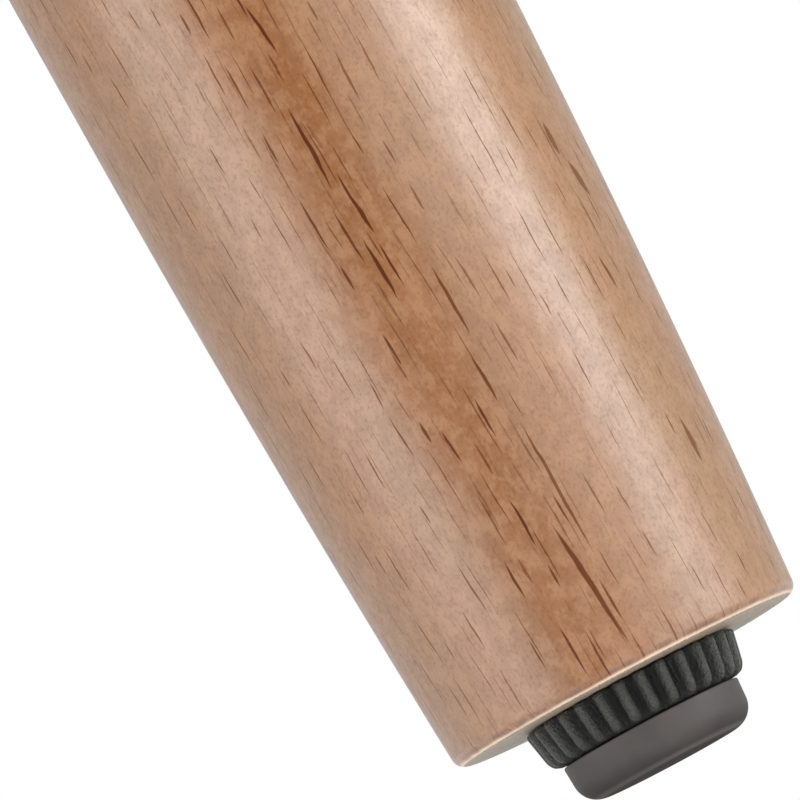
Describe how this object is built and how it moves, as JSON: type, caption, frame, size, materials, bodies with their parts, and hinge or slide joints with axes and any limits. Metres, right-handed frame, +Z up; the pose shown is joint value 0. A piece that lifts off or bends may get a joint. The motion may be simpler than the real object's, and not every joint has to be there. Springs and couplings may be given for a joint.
{
  "type": "furniture leg",
  "caption": "Round tapered beech furniture leg on a levelling foot: a ribbed adjusting wheel over a rubber pad, with a bolted mounting plate at the top.",
  "frame": {"origin": "centre of the foot pad's underside, on the floor", "axes": "+Z up along the leg's axis; X and Y along the mounting plate's sides"},
  "size_m": [0.06, 0.06, 0.167],
  "materials": {
    "beech": "satin clear lacquer",
    "rubber": "matt moulded rubber",
    "black_plastic": "moulded, fine texture",
    "zinc_steel": "bright zinc plate"
  },
  "bodies": {
    "foot": {"foot_pad": "rubber"},
    "leg": {"leg_body": "beech", "insert_nut": "zinc_steel", "hanger_bolt": "zinc_steel", "mounting_plate": "zinc_steel", "plate_nut": "zinc_steel"},
    "wheel": {"adjusting_wheel": "black_plastic", "glide_stem": "zinc_steel"}
  },
  "joints": [
    {"name": "leg_height", "type": "slide", "parent": "foot", "child": "leg", "axis": [0, 0, 1], "range_m": [0, 0.01]},
    {"name": "wheel_turn", "type": "hinge", "parent": "foot", "child": "wheel", "pos_m": [0, 0, 0], "axis": [0, 0, 1], "range_deg": [-2880.5, 0.5]}
  ],
  "couplings": [
    {"joint": "wheel_turn", "follows": "leg_height", "rad_per_m": -5026.5}
  ]
}
